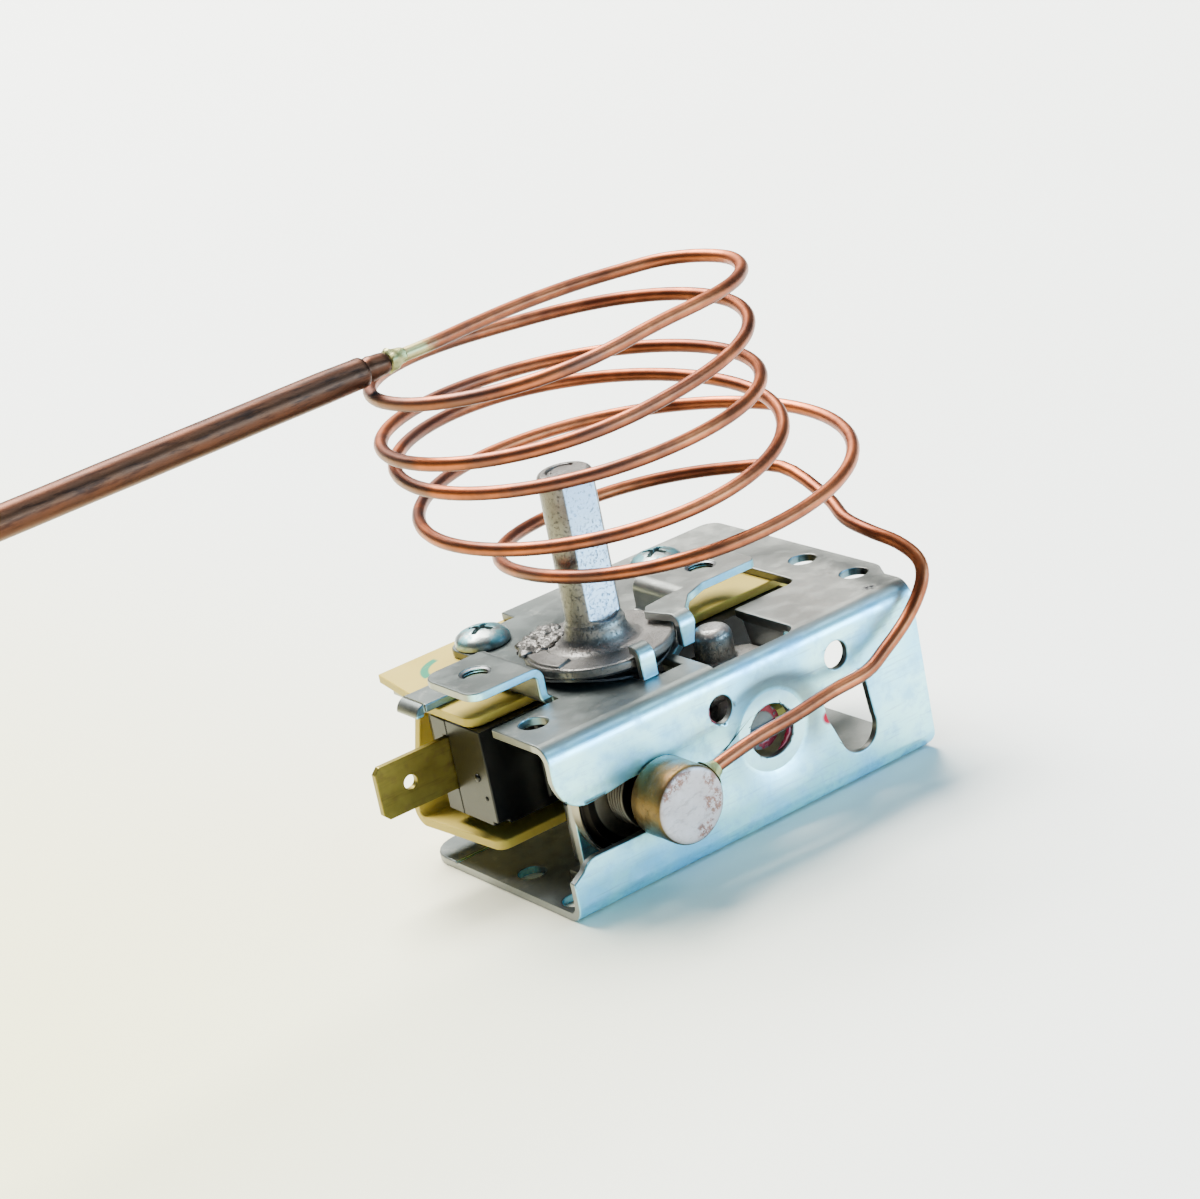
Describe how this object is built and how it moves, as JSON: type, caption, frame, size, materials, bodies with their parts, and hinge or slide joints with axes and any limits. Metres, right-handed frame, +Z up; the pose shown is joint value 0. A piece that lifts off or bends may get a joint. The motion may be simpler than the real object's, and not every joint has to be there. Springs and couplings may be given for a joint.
{
  "type": "oven thermostat",
  "caption": "Oven thermostat in a folded steel channel with a D-shaped dial shaft, snap switch, liquid-filled power element, coiled copper capillary and sensing bulb.",
  "frame": {"origin": "on the dial shaft's axis, at the underside of the bottom plate", "axes": "+Z up along the dial shaft, +X along the front plate away from the bulb, +Y from the front plate towards the switch bracket"},
  "size_m": [0.1718, 0.0514, 0.0608],
  "materials": {
    "plated_steel": "bright zinc plating, slightly mottled",
    "die_cast": "dull grey casting, rough at the gate",
    "bright_steel": "satin",
    "spring_steel": "dark satin",
    "lock_screw": "zinc plating with blue-green thread locker",
    "cap_metal": "heat-tinted, dull",
    "bellows_metal": "satin",
    "black_housing": "moulded, low gloss",
    "cream_sheet": "smooth fibre sheet",
    "terminal_metal": "tarnished",
    "contact_metal": "satin",
    "plunger_plastic": "moulded",
    "copper": "drawn copper, uneven brown tint",
    "braze": "greenish gold bead"
  },
  "bodies": {
    "chassis": {"frame": "plated_steel", "wave_washer": "spring_steel", "rocker_pin": "bright_steel", "pivot_post": "bright_steel", "element_cap": "cap_metal", "bellows": "bellows_metal", "element_disc": "bellows_metal", "element_clip": "plated_steel", "switch_front": "black_housing", "switch_back": "black_housing", "left_terminal": "terminal_metal", "right_terminal": "terminal_metal", "fixed_contact": "contact_metal", "switch_rivets": "bright_steel", "switch_wrap": "cream_sheet", "insulator_plate": "cream_sheet", "switch_bracket": "plated_steel", "bracket_screws": "lock_screw", "capillary_tube": "copper", "cap_braze": "braze", "bulb_braze": "braze", "bulb": "copper"},
    "shaft": {"cam_shaft": "die_cast"},
    "rocker": {"rocker_lever": "die_cast", "follower_pin": "bright_steel", "calibration_screw": "bright_steel", "range_spring": "spring_steel"},
    "button": {"element_button": "bright_steel"},
    "lever": {"power_lever": "bright_steel"},
    "plunger": {"switch_plunger": "plunger_plastic"},
    "blade": {"contact_arm": "contact_metal", "moving_contact": "contact_metal"}
  },
  "joints": [
    {"name": "shaft_turn", "type": "hinge", "parent": "chassis", "child": "shaft", "pos_m": [0, 0, 0.022], "axis": [0, 0, 1], "range_deg": [0, 300]},
    {"name": "rocker_tilt", "type": "hinge", "parent": "chassis", "child": "rocker", "pos_m": [0.0117, -0.0076, 0.0154], "axis": [1, 0, 0], "range_deg": [0, 9.9]},
    {"name": "element_push", "type": "slide", "parent": "chassis", "child": "button", "axis": [0, 1, 0], "range_m": [0, 0.00017], "stiffness_N_per_m": 200},
    {"name": "lever_swing", "type": "hinge", "parent": "chassis", "child": "lever", "pos_m": [-0.0089, -0.003, 0.0105], "axis": [0, 0, 1], "range_deg": [0, 2.9]},
    {"name": "plunger_push", "type": "slide", "parent": "chassis", "child": "plunger", "axis": [0, 1, 0], "range_m": [0, 0.00075]},
    {"name": "blade_snap", "type": "hinge", "parent": "chassis", "child": "blade", "pos_m": [0.0214, 0.00545, 0.01355], "axis": [0, 0, -1], "range_deg": [0, 2.7]}
  ],
  "couplings": [
    {"joint": "rocker_tilt", "follows": "shaft_turn", "ratio": 0.03247},
    {"joint": "lever_swing", "follows": "element_push", "rad_per_m": 294.1},
    {"joint": "plunger_push", "follows": "element_push", "ratio": 4.147},
    {"joint": "blade_snap", "follows": "element_push", "rad_per_m": 255.3}
  ]
}
